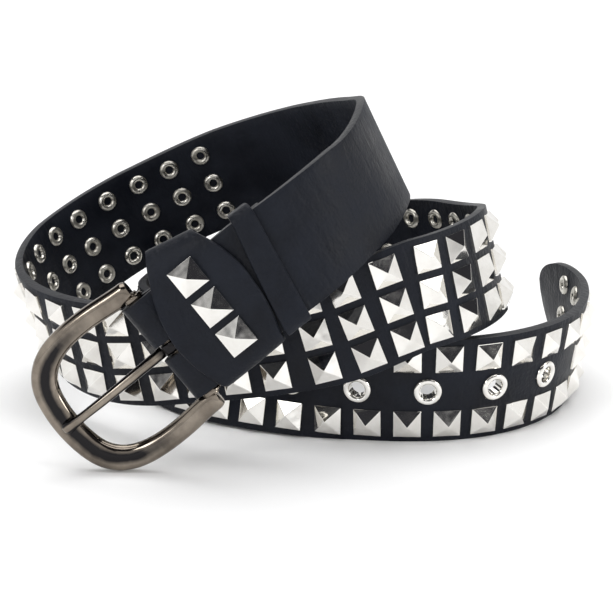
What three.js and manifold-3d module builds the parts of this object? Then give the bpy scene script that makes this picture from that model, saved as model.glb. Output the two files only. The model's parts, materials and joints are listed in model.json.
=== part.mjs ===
// A studded belt, unbuckled and lying in a rising coil of about two and a half turns.
// Millimetres, +Z up. The floor is z = 0 and the viewer stands on the -Y side.
// The strap is one ribbon that follows a short table of stations. Everything that sits on it is placed
// by (run, across, out): the distance along the strap from the buckle's bar, the distance up from the
// strap's lower edge, and the distance out from the strap's middle towards the studs.

import * as THREE from 'three';
import { mergeVertices } from 'three/addons/utils/BufferGeometryUtils.js';
import Module from 'manifold-3d';

const wasm = await Module();
wasm.setup();

// Strap
const strap_length = 1035;
const strap_width = 38;
const strap_thickness = 3.1;
const strap_edge_chamfer = 0.5;
const strap_step = 7.6;
const tip_step = 4;
const layer_step = 2.6;
const tip_taper_length = 27;
const tip_end_width = 5;
const coil_span = strap_length / 5.175;

// Studs, in rows along the strap and columns across it
const stud_size = 9.6;
const stud_height = 3.9;
const stud_skirt = 0.7;
const stud_sink = 1.2;
const stud_margin = 0.15;
const column_pitch = 13.6;
const row_pitch = 12.1;
const plain_run = 247;
const wide_gap_column = 17;
const wide_gap_extra = 2.3;
const last_column_room = 20;
const column_count = 1 + Math.floor(
  (strap_length - plain_run - wide_gap_extra - last_column_room) / column_pitch);

// Eyelets, counted in columns back from the tip's last full column but three
const eyelet_count = 6;
const eyelet_first = 2;
const eyelet_spacing = 1.75;
const eyelet_anchor_column = column_count - 4;
const eyelet_flange_radius = 5;
const eyelet_hole_radius = 2.75;
const eyelet_barrel_wall = 0.55;
const eyelet_flange_thickness = 0.8;
const eyelet_bend_radius = 28;

// Gaps between pieces
const seat_gap = 0.3;
const running_gap = 0.35;

// Buckle
const bar_radius = 2.2;
const frame_width = 56;
const frame_length = 50;
const frame_band = 7.4;
const frame_end_band = 9;
const frame_thickness = 6;
const frame_tilt = 4.5;
const knuckle_radius = 3.5;
const knuckle_length = 1.6;
const prong_width = 4;
const prong_thickness = 3.4;
const prong_tip_width = 2.6;
const prong_ring_wall = 1.7;
const prong_overhang = 1.5;

// Turned-back end of the strap, which wraps the bar
const layer_gap = 0.3;
const turned_back_run = 52;
const fold_taper_run = 13;
const slot_side_gap = 0.8;
const slot_run = 9;

// Keepers
const wide_keeper_run = 19.6;
const wide_keeper_half = 16.5;
const wide_keeper_end_half = 8.2;
const wide_keeper_middle = -1.6;
const wide_keeper_spread = 27.4;
const wide_keeper_slant = 0.09;
const wide_keeper_slack = 6.6;
const wide_keeper_slack_fall = 0.25;
const keeper_nose_share = 0.35;
const wide_keeper_wall = 2.4;
const wide_keeper_crown = 0.9;
const plain_keeper_run = 42;
const plain_keeper_half = 4.5;
const plain_keeper_slant = 0.13;
const plain_keeper_taper = 0.0275;
const plain_keeper_wall = 2.2;
const keeper_side_gap = 0.5;
const keeper_stud_size = 10;
const keeper_stud_pitch = 12.4;
const keeper_stud_shift = 1.7;
const keeper_stud_lift = 2.1;

// The path of the strap, from the bar to the tip. run is a share of the strap's length, side and deep
// are where its middle stands as shares of the coil's span, low is the height of its lower edge as a
// share of the strap's width, and lean is how far its top edge tips outwards, in degrees.
const stations = [
  { run: 0 / 26, side: -0.222, deep: -0.417, low: 0.781, lean: 3 },
  { run: 1 / 26, side: -0.071, deep: -0.422, low: 1.42, lean: -12 },
  { run: 2 / 26, side: 0.074, deep: -0.337, low: 1.9, lean: -17 },
  { run: 3 / 26, side: 0.132, deep: -0.156, low: 2.12, lean: -25 },
  { run: 4 / 26, side: 0.107, deep: 0.036, low: 1.97, lean: -26 },
  { run: 5 / 26, side: 0.018, deep: 0.205, low: 1.71, lean: -19 },
  { run: 6 / 26, side: -0.141, deep: 0.298, low: 1.37, lean: -11 },
  { run: 7 / 26, side: -0.319, deep: 0.280, low: 0.96, lean: 0 },
  { run: 8 / 26, side: -0.459, deep: 0.163, low: 0.57, lean: 17 },
  { run: 9 / 26, side: -0.480, deep: -0.026, low: 0.34, lean: 20 },
  { run: 10 / 26, side: -0.365, deep: -0.184, low: 0.26, lean: 12 },
  { run: 11 / 26, side: -0.188, deep: -0.272, low: 0.43, lean: 0 },
  { run: 12 / 26, side: 0.002, deep: -0.328, low: 0.65, lean: 1 },
  { run: 13 / 26, side: 0.192, deep: -0.309, low: 0.98, lean: -9 },
  { run: 14 / 26, side: 0.316, deep: -0.161, low: 1.05, lean: -13 },
  { run: 15 / 26, side: 0.305, deep: 0.034, low: 0.89, lean: -13 },
  { run: 16 / 26, side: 0.185, deep: 0.186, low: 0.71, lean: 0 },
  { run: 17 / 26, side: 0.021, deep: 0.281, low: 0.42, lean: 0 },
  { run: 18 / 26, side: -0.168, deep: 0.274, low: 0.16, lean: 11 },
  { run: 19 / 26, side: -0.286, deep: 0.125, low: 0, lean: 10 },
  { run: 20 / 26, side: -0.236, deep: -0.062, low: 0, lean: -10 },
  { run: 21 / 26, side: -0.075, deep: -0.176, low: 0, lean: -15 },
  { run: 22 / 26, side: 0.110, deep: -0.249, low: 0, lean: 5 },
  { run: 23 / 26, side: 0.306, deep: -0.236, low: 0, lean: 8 },
  { run: 24 / 26, side: 0.449, deep: -0.105, low: 0, lean: 10 },
  { run: 25 / 26, side: 0.496, deep: 0.088, low: 0.04, lean: 8 },
  { run: 26 / 26, side: 0.46, deep: 0.283, low: 0.1, lean: -13 },
];

// Half of the buckle frame's middle line, seen flat: side is a share of half the width between the
// legs' middles, reach is a share of the distance from the bar to the far end's middle.
const frame_half_line = [
  { side: 0.95, reach: -0.02, band: 0 },
  { side: 0.96, reach: 0.10, band: 0 },
  { side: 0.99, reach: 0.28, band: 0 },
  { side: 1.00, reach: 0.46, band: 0.05 },
  { side: 0.97, reach: 0.64, band: 0.30 },
  { side: 0.86, reach: 0.81, band: 0.75 },
  { side: 0.64, reach: 0.93, band: 1 },
  { side: 0.33, reach: 0.985, band: 1 },
  { side: 0, reach: 1, band: 1 },
];

const half_thickness = strap_thickness / 2;

// Smooth curve through the given values, free at both ends, with its slope.
function natural_spline(at, values) {
  const count = at.length;
  const bend = new Array(count).fill(0);
  const lead = new Array(count).fill(0);
  const load = new Array(count).fill(0);
  for (let i = 1; i < count - 1; i += 1) {
    const left = at[i] - at[i - 1];
    const right = at[i + 1] - at[i];
    const rise = (values[i + 1] - values[i]) / right - (values[i] - values[i - 1]) / left;
    const pivot = 2 * (left + right) - left * lead[i - 1];
    lead[i] = right / pivot;
    load[i] = (6 * rise - left * load[i - 1]) / pivot;
  }
  for (let i = count - 2; i > 0; i -= 1) bend[i] = load[i] - lead[i] * bend[i + 1];
  return (x) => {
    let i = 0;
    while (i < count - 2 && x > at[i + 1]) i += 1;
    const span = at[i + 1] - at[i];
    const a = (at[i + 1] - x) / span;
    const b = 1 - a;
    const curve = ((a ** 3 - a) * bend[i] + (b ** 3 - b) * bend[i + 1]) * span ** 2 / 6;
    const turn = ((3 * b * b - 1) * bend[i + 1] - (3 * a * a - 1) * bend[i]) * span / 6;
    return {
      value: a * values[i] + b * values[i + 1] + curve,
      slope: (values[i + 1] - values[i]) / span + turn,
    };
  };
}

// Smooth curve through the given values that never passes above or below its neighbours.
function steady_spline(at, values) {
  const count = at.length;
  const step = values.slice(1).map((v, i) => (v - values[i]) / (at[i + 1] - at[i]));
  const slopes = values.map((v, i) => {
    if (i === 0) return step[0];
    if (i === count - 1) return step[count - 2];
    if (step[i - 1] * step[i] <= 0) return 0;
    return 2 * step[i - 1] * step[i] / (step[i - 1] + step[i]);
  });
  return (x) => {
    let i = 0;
    while (i < count - 2 && x > at[i + 1]) i += 1;
    const span = at[i + 1] - at[i];
    const t = (x - at[i]) / span;
    const rise = values[i + 1] - values[i];
    const ease = 3 * t * t - 2 * t ** 3;
    const start = (t ** 3 - 2 * t * t + t) * slopes[i] * span;
    const end = (t ** 3 - t * t) * slopes[i + 1] * span;
    const value = values[i] + rise * ease + start + end;
    const slope = rise * (6 * t - 6 * t * t) / span
      + (3 * t * t - 4 * t + 1) * slopes[i]
      + (3 * t * t - 2 * t) * slopes[i + 1];
    return { value, slope };
  };
}

const runs = stations.map((s) => s.run * strap_length);
const side_at = natural_spline(runs, stations.map((s) => s.side * coil_span));
const deep_at = natural_spline(runs, stations.map((s) => s.deep * coil_span));
const low_at = steady_spline(runs, stations.map((s) => s.low * strap_width));
const lean_at = steady_spline(runs, stations.map((s) => s.lean));

// The strap's own directions at a run: along it, up its width and out of its studded side.
function strap_frame(run) {
  const held = Math.min(Math.max(run, 0), strap_length);
  const side = side_at(held);
  const deep = deep_at(held);
  const low = low_at(held);
  const along = new THREE.Vector3(side.slope, deep.slope, low.slope).normalize();
  const upright = new THREE.Vector3(0, 0, 1).addScaledVector(along, -along.z).normalize();
  const level = new THREE.Vector3().crossVectors(along, upright);
  const lean = THREE.MathUtils.degToRad(lean_at(held).value);
  const up = upright.multiplyScalar(Math.cos(lean)).addScaledVector(level, Math.sin(lean));
  const out = new THREE.Vector3().crossVectors(along, up);
  const height = low.value + strap_width / 2 * up.z + half_thickness * Math.abs(out.z);
  const middle = new THREE.Vector3(side.value, deep.value, height);
  middle.addScaledVector(along, run - held);
  return { middle, along, up, out };
}

// A point given by its run, its distance up from the lower edge and its distance out.
function place(run, across, out) {
  const f = strap_frame(run);
  return f.middle.clone().addScaledVector(f.up, across - strap_width / 2).addScaledVector(f.out, out);
}

// A closed surface through rings of points, capped at both ends or joined into a loop.
function skin(rings, looped = false) {
  const size = rings[0].length;
  const points = rings.flat();
  const faces = [];
  const bands = looped ? rings.length : rings.length - 1;
  for (let i = 0; i < bands; i += 1) {
    const a = i * size;
    const b = ((i + 1) % rings.length) * size;
    for (let j = 0; j < size; j += 1) {
      const k = (j + 1) % size;
      faces.push(a + j, a + k, b + k, a + j, b + k, b + j);
    }
  }
  if (!looped) {
    const last = (rings.length - 1) * size;
    for (let j = 1; j < size - 1; j += 1) {
      faces.push(0, j + 1, j, last, last + j, last + j + 1);
    }
  }
  const geometry = new THREE.BufferGeometry();
  geometry.setAttribute('position', new THREE.BufferAttribute(
    new Float32Array(points.flatMap((p) => [p.x, p.y, p.z])), 3));
  geometry.setIndex(faces);
  return geometry;
}

// Turns a closed geometry into a solid, facing outwards.
function to_solid(source) {
  const bare = source.clone();
  bare.deleteAttribute('normal');
  bare.deleteAttribute('uv');
  const merged = mergeVertices(bare, 1e-4);
  const vertices = merged.attributes.position.array;
  const faces = Array.from(merged.index.array);
  let volume = 0;
  for (let i = 0; i < faces.length; i += 3) {
    const [a, b, c] = [0, 1, 2].map((n) => new THREE.Vector3().fromArray(vertices, faces[i + n] * 3));
    volume += a.dot(b.cross(c));
  }
  if (volume < 0) faces.reverse();
  return new wasm.Manifold(new wasm.Mesh({
    numProp: 3,
    vertProperties: new Float32Array(vertices),
    triVerts: new Uint32Array(faces),
  }));
}

function to_geometry(solid) {
  const mesh = solid.getMesh();
  const geometry = new THREE.BufferGeometry();
  geometry.setAttribute('position', new THREE.BufferAttribute(new Float32Array(mesh.vertProperties), 3));
  geometry.setIndex(Array.from(mesh.triVerts));
  geometry.computeVertexNormals();
  return geometry;
}

// Moves a geometry built on its own axes (X along, Y up the width, Z out) onto the given directions.
function seated(geometry, middle, x_axis, y_axis, z_axis) {
  const turn = new THREE.Matrix4().makeBasis(x_axis, y_axis, z_axis).setPosition(middle);
  return geometry.clone().applyMatrix4(turn);
}

// How far the two layers spread from their shared middle as they open round the bar.
const layer_spread = half_thickness + layer_gap / 2;
const fold_radius = bar_radius + running_gap + half_thickness;
const fold_middle = -layer_spread;

function spread_at(run) {
  const t = Math.min(Math.max(run / fold_taper_run, 0), 1);
  const ease = 1 - t * t * (3 - 2 * t);
  return layer_spread + (fold_radius - layer_spread) * ease;
}

function column_run(column) {
  return plain_run + column * column_pitch + (column >= wide_gap_column ? wide_gap_extra : 0);
}

// Where the single strap is cut into flat lengths: at both edges of every stud, so each has a flat seat.
function face_runs() {
  const evenly = (from, to, step) => {
    const count = Math.round((to - from) / step);
    return Array.from({ length: count - 1 }, (_, i) => from + (to - from) * (i + 1) / count);
  };
  const half = stud_size / 2 + stud_margin;
  const seats = [];
  for (let column = 0; column < column_count; column += 1) {
    seats.push(column_run(column) - half, column_run(column) + half);
  }
  return [
    ...evenly(turned_back_run, seats[0], strap_step),
    ...seats,
    ...evenly(seats.at(-1), strap_length, tip_step),
    strap_length,
  ];
}

// The strap's middle line seen edge on, from the turned-back end, round the bar and on to the tip.
function strap_line() {
  const line = [];
  const back_steps = Math.round(turned_back_run / layer_step);
  for (let i = back_steps; i > 0; i -= 1) {
    const run = turned_back_run * i / back_steps;
    line.push({ run, out: fold_middle - spread_at(run) });
  }
  const turns = 10;
  for (let i = 0; i <= turns; i += 1) {
    const angle = Math.PI * (i / turns - 0.5);
    line.push({
      run: -fold_radius * Math.cos(angle),
      out: fold_middle + fold_radius * Math.sin(angle),
    });
  }
  for (let i = 1; i <= back_steps; i += 1) {
    const run = turned_back_run * i / back_steps;
    line.push({ run, out: fold_middle + spread_at(run) });
  }
  for (const run of face_runs()) line.push({ run, out: 0 });
  return line;
}

// Half the strap's width at a run: full, then narrowing to the rounded point of the tip.
function half_width_at(run) {
  const t = Math.max(0, (run - (strap_length - tip_taper_length)) / tip_taper_length);
  const full = strap_width / 2;
  const point = tip_end_width / 2;
  return point + (full - point) * Math.sqrt(Math.max(0, 1 - t ** 2.4));
}

function strap_blank() {
  const line = strap_line();
  const rings = line.map((here, i) => {
    const before = line[Math.max(i - 1, 0)];
    const after = line[Math.min(i + 1, line.length - 1)];
    const slope = new THREE.Vector2(after.run - before.run, after.out - before.out).normalize();
    const half = half_width_at(here.run);
    const c = strap_edge_chamfer;
    const outline = [
      [half - c, half_thickness], [half, 0], [half - c, -half_thickness],
      [c - half, -half_thickness], [-half, 0], [c - half, half_thickness],
    ];
    return outline.map(([across, lift]) => place(
      here.run - slope.y * lift, strap_width / 2 + across, here.out + slope.x * lift));
  });
  return to_solid(skin(rings));
}

// A square stud: a low skirt, four sloping faces and a small flat on top.
function stud_shape(size, sink) {
  const half = size / 2;
  const tip = 0.12 * size / 2;
  const square = (r, z) => [
    new THREE.Vector3(r, r, z), new THREE.Vector3(-r, r, z),
    new THREE.Vector3(-r, -r, z), new THREE.Vector3(r, -r, z),
  ];
  return skin([square(half, -sink), square(half, stud_skirt), square(tip, stud_height)]);
}

function eyelet_run(index) {
  return column_run(eyelet_anchor_column)
    - (eyelet_first + index * eyelet_spacing) * column_pitch;
}

const eyelet_zone_start = eyelet_run(eyelet_count - 1) - column_pitch * 0.8;
const eyelet_zone_end = eyelet_run(0) + column_pitch * 1.5;

// Every stud of the field: all three rows, but no middle one where the eyelets are.
function stud_places() {
  const places = [];
  for (let column = 0; column < column_count; column += 1) {
    const run = column_run(column);
    const among_eyelets = run > eyelet_zone_start && run < eyelet_zone_end;
    const rows = among_eyelets ? [-1, 1] : [-1, 0, 1];
    for (const row of rows) places.push({ run, across: strap_width / 2 + row * row_pitch });
  }
  return places;
}

function on_strap(geometry, run, across, out) {
  const f = strap_frame(run);
  return seated(geometry, place(run, across, out), f.along, f.up, f.out);
}

function strap_solid() {
  const stud = stud_shape(stud_size, stud_sink);
  const studs = stud_places().map((s) => to_solid(on_strap(stud, s.run, s.across, half_thickness)));
  const hole = new THREE.CylinderGeometry(1, 1, strap_thickness * 3, 16).rotateX(Math.PI / 2);
  const hole_radius = eyelet_hole_radius + eyelet_barrel_wall + seat_gap;
  const holes = [];
  for (let i = 0; i < eyelet_count; i += 1) {
    const cutter = hole.clone().scale(hole_radius, hole_radius, 1);
    holes.push(to_solid(on_strap(cutter, eyelet_run(i), strap_width / 2, 0)));
  }
  const slot_width = prong_width + 2 * slot_side_gap;
  const slot_depth = 4 * (fold_radius + strap_thickness);
  const slot_length = slot_run + fold_radius + strap_thickness;
  const slot = new THREE.BoxGeometry(slot_length, slot_width, slot_depth)
    .translate(slot_run - slot_length / 2, 0, 0);
  holes.push(to_solid(on_strap(slot, 0, strap_width / 2, fold_middle)));
  const blank = wasm.Manifold.union([strap_blank(), ...studs]);
  return blank.subtract(wasm.Manifold.union(holes));
}

// A leather loop round both layers. reach gives its two edges, along the strap, by height and side.
// slack gives how far its top stands clear of the strap's upper edge, at a run.
function keeper_rings(middle_run, wall, crown, reach, slack) {
  const half = strap_width / 2 + keeper_side_gap;
  const front_steps = 8;
  const loop = [];
  const flat = (share, side) => ({
    inner: [half * share, side],
    outer: [(half + wall * 0.75) * share, side],
    pull: keeper_nose_share * Math.max(share, 0),
    front: side > 0,
  });
  const end = (across, side, pull) => ({
    inner: [across, side], outer: [across + Math.sign(across) * wall, side], pull, front: false,
  });
  for (let i = 0; i <= front_steps; i += 1) loop.push(flat(1 - 2 * i / front_steps, 1));
  for (const side of [0.5, -0.5]) loop.push(end(-half, side, 0));
  const back_steps = 4;
  for (let i = 0; i <= back_steps; i += 1) loop.push(flat(2 * i / back_steps - 1, -1));
  for (const side of [-0.5, 0.5]) loop.push(end(half, side, 1));
  const steps = 4;
  return loop.map(({ inner, outer, pull, front }) => {
    const [start, stop] = reach(inner[0] + pull * slack(middle_run), front);
    const ring = [];
    const point = (share, [across, side], extra) => {
      const run = middle_run + start + (stop - start) * share;
      const stack = spread_at(run) + half_thickness + seat_gap;
      const bulge = front ? crown * Math.cos(inner[0] / half * Math.PI / 2) : 0;
      const out = fold_middle + side * (stack + extra) + (extra > 0 ? bulge : 0);
      return place(run, strap_width / 2 + across + pull * slack(run), out);
    };
    for (let i = 0; i <= steps; i += 1) ring.push(point(i / steps, outer, wall));
    for (let i = steps; i >= 0; i -= 1) ring.push(point(i / steps, inner, 0));
    return ring;
  });
}

// The wide keeper stands further clear of the strap towards the buckle.
function wide_keeper_slack_at(run) {
  return wide_keeper_slack - wide_keeper_slack_fall * (run - wide_keeper_run);
}

// Half the wide keeper's length along the strap, widest a little below its middle.
function wide_keeper_edge(across) {
  const share = Math.min(Math.abs(across - wide_keeper_middle) / wide_keeper_spread, 1);
  const swell = Math.cos(share * Math.PI / 2) ** 0.8;
  return wide_keeper_end_half + (wide_keeper_half - wide_keeper_end_half) * swell;
}

function wide_keeper_solid() {
  const bottom = -strap_width / 2 - keeper_side_gap;
  const top = strap_width / 2 + keeper_side_gap + wide_keeper_slack;
  const reach = (across, front) => {
    const share = (across - bottom) / (top - bottom);
    const straight = wide_keeper_edge(bottom) * (1 - share) + wide_keeper_edge(top) * share;
    const edge = front ? wide_keeper_edge(across) : straight;
    const shift = wide_keeper_slant * Math.max(across, 0);
    return [shift - edge, shift + edge];
  };
  const rings = keeper_rings(
    wide_keeper_run, wide_keeper_wall, wide_keeper_crown, reach, wide_keeper_slack_at);
  return to_solid(skin(rings, true));
}

function plain_keeper_solid() {
  const reach = (across) => {
    const shift = plain_keeper_slant * across;
    const edge = plain_keeper_half - plain_keeper_taper * across;
    return [shift - edge, shift + edge];
  };
  return to_solid(skin(keeper_rings(plain_keeper_run, plain_keeper_wall, 0, reach, () => 0), true));
}

// How far out a flat piece of the given half size sits, clear of a bent surface on one side.
function seat_over(run, across, half_size, side, surface) {
  const f = strap_frame(run);
  const base = place(run, across, 0);
  let highest = 0;
  for (const along of [-1, -0.5, 0, 0.5, 1]) {
    for (const up of [-1, -0.5, 0, 0.5, 1]) {
      const [r, a] = [run + along * half_size, across + up * half_size];
      const height = place(r, a, side * surface(r, a)).sub(base).dot(f.out) * side;
      highest = Math.max(highest, height);
    }
  }
  return highest + seat_gap;
}

function wide_keeper_surface(run, across) {
  const height = across - strap_width / 2;
  const nose = height > 0 ? keeper_nose_share * wide_keeper_slack_at(run) : 0;
  const share = height / (strap_width / 2 + keeper_side_gap + nose);
  const crown = wide_keeper_crown * Math.cos(share * Math.PI / 2);
  return fold_middle + spread_at(run) + half_thickness + seat_gap + wide_keeper_wall + crown;
}

function keeper_stud(row) {
  const run = wide_keeper_run + keeper_stud_shift;
  const across = strap_width / 2 + keeper_stud_lift + row * keeper_stud_pitch;
  const out = seat_over(run, across, keeper_stud_size / 2, 1, wide_keeper_surface);
  return on_strap(stud_shape(keeper_stud_size, 0), run, across, out);
}

// A rolled eyelet: two flanges and the barrel between them, through the strap.
function eyelet(index) {
  const run = eyelet_run(index);
  const facet_sag = (stud_size + 2 * stud_margin) ** 2 / (8 * eyelet_bend_radius);
  const strap_face = () => half_thickness + facet_sag;
  const seat = seat_over(run, strap_width / 2, eyelet_flange_radius, 1, strap_face);
  const back_seat = seat_over(run, strap_width / 2, eyelet_flange_radius, -1, strap_face);
  const top = seat + eyelet_flange_thickness;
  const back = back_seat + eyelet_flange_thickness;
  const wall = eyelet_hole_radius + eyelet_barrel_wall;
  const profile = [
    [eyelet_hole_radius, -back], [eyelet_flange_radius - 0.8, -back],
    [eyelet_flange_radius - 0.8, -back_seat], [wall, -back_seat],
    [wall, seat], [eyelet_flange_radius, seat], [eyelet_flange_radius - 0.9, top],
    [eyelet_hole_radius, top - 0.2], [eyelet_hole_radius, -back],
  ].map(([r, z]) => new THREE.Vector2(r, z));
  const spun = new THREE.LatheGeometry(profile, 16).rotateX(Math.PI / 2);
  return on_strap(to_geometry(to_solid(spun)), run, strap_width / 2, 0);
}

// The buckle's own directions: across its bar, out to its far end and up from its face.
const bar = strap_frame(0);
const bar_middle = place(0, strap_width / 2, fold_middle);
const tilt = THREE.MathUtils.degToRad(frame_tilt);
const buckle_across = bar.up.clone();
const buckle_reach = bar.along.clone().multiplyScalar(-Math.cos(tilt))
  .addScaledVector(bar.out, Math.sin(tilt));
const buckle_face = bar.out.clone().multiplyScalar(Math.cos(tilt))
  .addScaledVector(bar.along, Math.sin(tilt));

function on_buckle(across, reach, face) {
  return bar_middle.clone().addScaledVector(buckle_across, across)
    .addScaledVector(buckle_reach, reach).addScaledVector(buckle_face, face);
}

const leg_half = frame_width / 2 - frame_band / 2;
const end_reach = frame_length - frame_end_band / 2;

function frame_line() {
  const half = frame_half_line.map((p) => ({ ...p }));
  const mirrored = half.slice(0, -1).reverse().map((p) => ({ ...p, side: -p.side }));
  return [...half, ...mirrored];
}

function frame_solid() {
  const line = frame_line();
  const points = line.map((p) => new THREE.Vector3(p.side * leg_half, p.reach * end_reach, 0));
  const curve = new THREE.CatmullRomCurve3(points, false, 'centripetal');
  const band_at = natural_spline(line.map((p, i) => i / (line.length - 1)), line.map((p) => p.band));
  const steps = 44;
  const sides = 10;
  const rings = [];
  for (let i = 0; i <= steps; i += 1) {
    const t = i / steps;
    const p = curve.getPoint(t);
    const tangent = curve.getTangent(t);
    const across = new THREE.Vector2(tangent.y, -tangent.x).normalize();
    const fade = Math.min(t, 1 - t) * steps;
    const close = Math.min(1, 0.62 + 0.38 * Math.sin(Math.min(fade / 2, 1) * Math.PI / 2));
    const band = frame_band + (frame_end_band - frame_band) * THREE.MathUtils.clamp(band_at(t).value, 0, 1);
    const ring = [];
    for (let j = 0; j < sides; j += 1) {
      const angle = j / sides * Math.PI * 2;
      const c = Math.cos(angle);
      const s = Math.sin(angle);
      const flat = Math.sign(c) * Math.abs(c) ** 0.8 * band / 2 * close;
      const lift = Math.sign(s) * Math.abs(s) ** 0.8 * frame_thickness / 2 * close;
      ring.push(on_buckle(p.x + across.x * flat, p.y + across.y * flat, lift));
    }
    rings.push(ring);
  }
  const rod = (radius, from, to) => {
    const length = to - from;
    const cylinder = new THREE.CylinderGeometry(radius, radius, length, 16);
    const turn = seated(cylinder, on_buckle((from + to) / 2, 0, 0), buckle_reach, buckle_across,
      buckle_face.clone().negate());
    return to_solid(turn);
  };
  const collar_start = strap_width / 2 + running_gap;
  const collar_end = collar_start + knuckle_length;
  const leg_end = leg_half * 0.9;
  return wasm.Manifold.union([
    to_solid(skin(rings)),
    rod(bar_radius, -leg_end, leg_end),
    rod(knuckle_radius, collar_start, collar_end),
    rod(knuckle_radius, -collar_end, -collar_start),
  ]);
}

// The prong: a ring round the bar and a tapering shank that comes to rest across the frame's far end.
function prong_solid() {
  const ring_inner = bar_radius + seat_gap;
  const ring_outer = ring_inner + prong_ring_wall;
  const rest = frame_thickness / 2 + seat_gap + prong_thickness * 0.42;
  const profile = [
    [ring_inner, -prong_width / 2], [ring_outer, -prong_width / 2],
    [ring_outer, prong_width / 2], [ring_inner, prong_width / 2], [ring_inner, -prong_width / 2],
  ].map(([r, y]) => new THREE.Vector2(r, y));
  const ring = seated(new THREE.LatheGeometry(profile, 20), on_buckle(0, 0, 0), buckle_reach,
    buckle_across, buckle_face.clone().negate());
  const start = ring_inner + 0.1;
  const end = end_reach + prong_overhang;
  const steps = 10;
  const sides = 8;
  const rings = [];
  for (let i = 0; i <= steps; i += 1) {
    const t = i / steps;
    const reach = start + (end - start) * t;
    const rise = rest * (1 - (1 - Math.min(t * 1.25, 1)) ** 2);
    const narrow = 1 - (1 - prong_tip_width / prong_width) * t ** 2;
    const blunt = i === steps ? 0.6 : 1;
    const section = [];
    for (let j = 0; j < sides; j += 1) {
      const angle = (j + 0.5) / sides * Math.PI * 2;
      const across = Math.cos(angle) * prong_width / 2 * narrow * blunt;
      const lift = Math.sin(angle) * prong_thickness / 2 * (0.72 + 0.28 * narrow) * blunt;
      section.push(on_buckle(across, reach, rise + lift));
    }
    rings.push(section);
  }
  return wasm.Manifold.union([to_solid(ring), to_solid(skin(rings))]);
}

const leather = new THREE.MeshStandardMaterial({ color: 0x16171b, roughness: 0.55, metalness: 0 });
const nickel = new THREE.MeshStandardMaterial({ color: 0xd0cfcb, roughness: 0.18, metalness: 1 });
const gunmetal = new THREE.MeshStandardMaterial({ color: 0x4a4542, roughness: 0.22, metalness: 1 });

const belt = new THREE.Group();

function add(name, geometry, material) {
  const mesh = new THREE.Mesh(geometry, material);
  mesh.name = name;
  belt.add(mesh);
}

add('strap', to_geometry(strap_solid()), leather);
add('wide_keeper', to_geometry(wide_keeper_solid()), leather);
add('plain_keeper', to_geometry(plain_keeper_solid()), leather);
add('keeper_stud_top', keeper_stud(1), nickel);
add('keeper_stud_middle', keeper_stud(0), nickel);
add('keeper_stud_bottom', keeper_stud(-1), nickel);
for (let i = 0; i < eyelet_count; i += 1) add(`eyelet_${i + 1}`, eyelet(i), nickel);
add('buckle_frame', to_geometry(frame_solid()), gunmetal);
add('prong', to_geometry(prong_solid()), gunmetal);

// The origin goes to the middle of the whole belt's underside.
const bounds = new THREE.Box3().setFromObject(belt);
const centre = bounds.getCenter(new THREE.Vector3());
belt.position.set(-centre.x, -centre.y, -bounds.min.z);

export default belt;
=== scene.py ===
"""Looks for the studded belt: black leather, bright square studs and a dark polished buckle.

Everything is in metres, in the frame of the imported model. Each leather piece is shaped flat, as on a
bench, and then laid along the path of the strap, which comes from a short table of stations.
"""

from __future__ import annotations

import json
import logging
import math
from dataclasses import dataclass, field
from enum import Enum
from typing import Callable

import bpy
from mathutils import Matrix, Vector
from mathutils.kdtree import KDTree

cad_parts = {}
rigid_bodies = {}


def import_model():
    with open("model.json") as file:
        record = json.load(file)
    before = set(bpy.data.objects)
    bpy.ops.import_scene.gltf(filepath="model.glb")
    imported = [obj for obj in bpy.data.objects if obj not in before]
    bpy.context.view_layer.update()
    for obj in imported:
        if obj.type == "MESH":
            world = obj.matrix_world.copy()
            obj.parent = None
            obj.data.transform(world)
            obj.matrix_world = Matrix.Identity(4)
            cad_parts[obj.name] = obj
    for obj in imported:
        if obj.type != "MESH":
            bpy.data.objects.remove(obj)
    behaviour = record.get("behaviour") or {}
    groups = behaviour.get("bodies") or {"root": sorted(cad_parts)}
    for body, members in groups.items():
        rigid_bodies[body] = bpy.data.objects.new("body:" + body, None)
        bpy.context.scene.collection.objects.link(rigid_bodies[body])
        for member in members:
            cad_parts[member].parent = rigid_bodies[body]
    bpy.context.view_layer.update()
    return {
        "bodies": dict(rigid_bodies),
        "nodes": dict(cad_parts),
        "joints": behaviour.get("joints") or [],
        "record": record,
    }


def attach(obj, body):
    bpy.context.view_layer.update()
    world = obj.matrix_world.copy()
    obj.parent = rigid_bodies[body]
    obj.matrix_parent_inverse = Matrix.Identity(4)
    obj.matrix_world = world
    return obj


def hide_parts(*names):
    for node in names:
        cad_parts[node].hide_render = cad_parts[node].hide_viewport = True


LOG = logging.getLogger("belt")


class Side(Enum):
    """Which face of the strap a place of a keeper is over."""

    OUTSIDE = 1
    INSIDE = -1


@dataclass(frozen=True)
class Station:
    """One row of the strap's path.

    run is a share of the strap's length, side and deep are shares of the coil's span, low is the
    height of the lower edge as a share of the strap's width, and lean is in degrees.
    """

    run: float
    side: float
    deep: float
    low: float
    lean: float


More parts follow.
